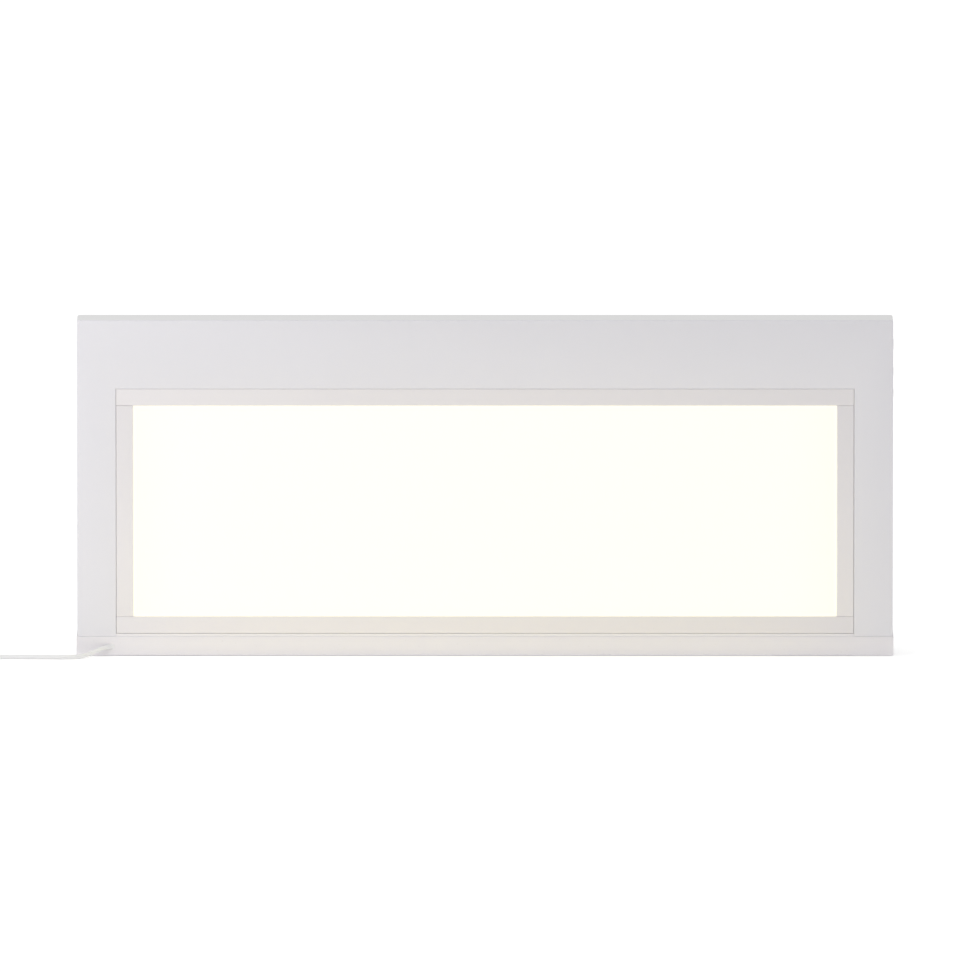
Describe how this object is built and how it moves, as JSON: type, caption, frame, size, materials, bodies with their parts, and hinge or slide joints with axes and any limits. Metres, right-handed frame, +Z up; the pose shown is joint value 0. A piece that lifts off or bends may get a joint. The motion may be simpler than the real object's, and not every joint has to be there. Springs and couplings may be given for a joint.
{
  "type": "light table",
  "caption": "Slim upright light table: white box on a base rail, opal lit window in a strip bezel, side buttons, fold-out rear legs and a thin lead with a plug.",
  "frame": {"origin": "on the standing surface, under the middle of the base rail", "axes": "+Z up with the table standing on its rail, +X to the right seen from the lit front, +Y to the back"},
  "size_m": [0.7313, 0.0607, 0.248],
  "materials": {
    "rail_white_coat": "fine powder coat, satin",
    "plate_white_coat": "fine powder coat, satin",
    "shell_white_plastic": "moulded, fine texture",
    "bezel_white": "satin",
    "cap_white_plastic": "moulded, satin",
    "leg_white_plastic": "moulded, satin",
    "opal_acrylic": "opal, silk matte, lit from behind",
    "clear_acrylic": "clear, polished",
    "white_reflector": "matte film",
    "panel_aluminium": "mill finish",
    "led_board": "white solder mask",
    "circuit_board": "green solder mask",
    "component_black": "moulded",
    "connector_plastic": "moulded",
    "button_grey": "moulded, satin",
    "foot_rubber": "matt",
    "screw_steel": "zinc plated",
    "pin_steel": "ground",
    "inner_lead": "matt jacket",
    "cord_white": "satin jacket",
    "tie_white": "soft strap",
    "plug_white": "moulded, satin",
    "plug_steel": "nickel plated"
  },
  "bodies": {
    "housing": {"base_rail": "rail_white_coat", "rail_end_cap_left": "cap_white_plastic", "rail_end_cap_right": "cap_white_plastic", "rail_pad_1": "foot_rubber", "rail_pad_2": "foot_rubber", "front_plate": "plate_white_coat", "rear_shell": "shell_white_plastic", "shell_screw_1": "screw_steel", "shell_screw_2": "screw_steel", "shell_screw_3": "screw_steel", "shell_screw_4": "screw_steel", "shell_screw_5": "screw_steel", "shell_screw_6": "screw_steel", "back_foot_1": "foot_rubber", "back_foot_2": "foot_rubber", "back_foot_3": "foot_rubber", "back_foot_4": "foot_rubber", "bezel_top": "bezel_white", "bezel_bottom": "bezel_white", "bezel_left": "bezel_white", "bezel_right": "bezel_white", "diffuser_panel": "opal_acrylic", "light_guide": "clear_acrylic", "reflector_sheet": "white_reflector", "panel_back_plate": "panel_aluminium", "led_board_top": "led_board", "led_board_bottom": "led_board", "panel_socket": "connector_plastic", "panel_connector": "connector_plastic", "supply_connector": "connector_plastic", "control_connector": "connector_plastic", "driver_board": "circuit_board", "control_board": "circuit_board", "driver_inductor": "component_black", "driver_capacitor": "component_black", "power_switch": "component_black", "brighter_switch": "component_black", "dimmer_switch": "component_black", "supply_lead": "inner_lead", "panel_lead": "inner_lead", "control_lead": "inner_lead", "leg_pin_left": "pin_steel", "leg_pin_right": "pin_steel", "cable_clamp": "cap_white_plastic", "cord_run": "cord_white", "cord_tail": "cord_white", "cord_coil": "cord_white", "coil_tie": "tie_white", "plug_body": "plug_white", "plug_strain_relief": "plug_white", "plug_shell": "plug_steel", "plug_tongue": "connector_plastic"},
    "leg_left": {"leg_left": "leg_white_plastic", "leg_tip_left": "foot_rubber"},
    "leg_right": {"leg_right": "leg_white_plastic", "leg_tip_right": "foot_rubber"},
    "power_key": {"power_button": "button_grey"},
    "brighter_key": {"brighter_button": "button_grey"},
    "dimmer_key": {"dimmer_button": "button_grey"}
  },
  "joints": [
    {"name": "leg_left_fold", "type": "hinge", "parent": "housing", "child": "leg_left", "pos_m": [-0.215, 0.0144, 0.204], "axis": [1, 0, 0], "range_deg": [0, 38]},
    {"name": "leg_right_fold", "type": "hinge", "parent": "housing", "child": "leg_right", "pos_m": [0.215, 0.0144, 0.204], "axis": [1, 0, 0], "range_deg": [0, 38]},
    {"name": "power_press", "type": "slide", "parent": "housing", "child": "power_key", "axis": [-1, 0, 0], "range_m": [0, 0.0008], "stiffness_N_per_m": 2500},
    {"name": "brighter_press", "type": "slide", "parent": "housing", "child": "brighter_key", "axis": [-1, 0, 0], "range_m": [0, 0.0008], "stiffness_N_per_m": 2500},
    {"name": "dimmer_press", "type": "slide", "parent": "housing", "child": "dimmer_key", "axis": [-1, 0, 0], "range_m": [0, 0.0008], "stiffness_N_per_m": 2500}
  ]
}
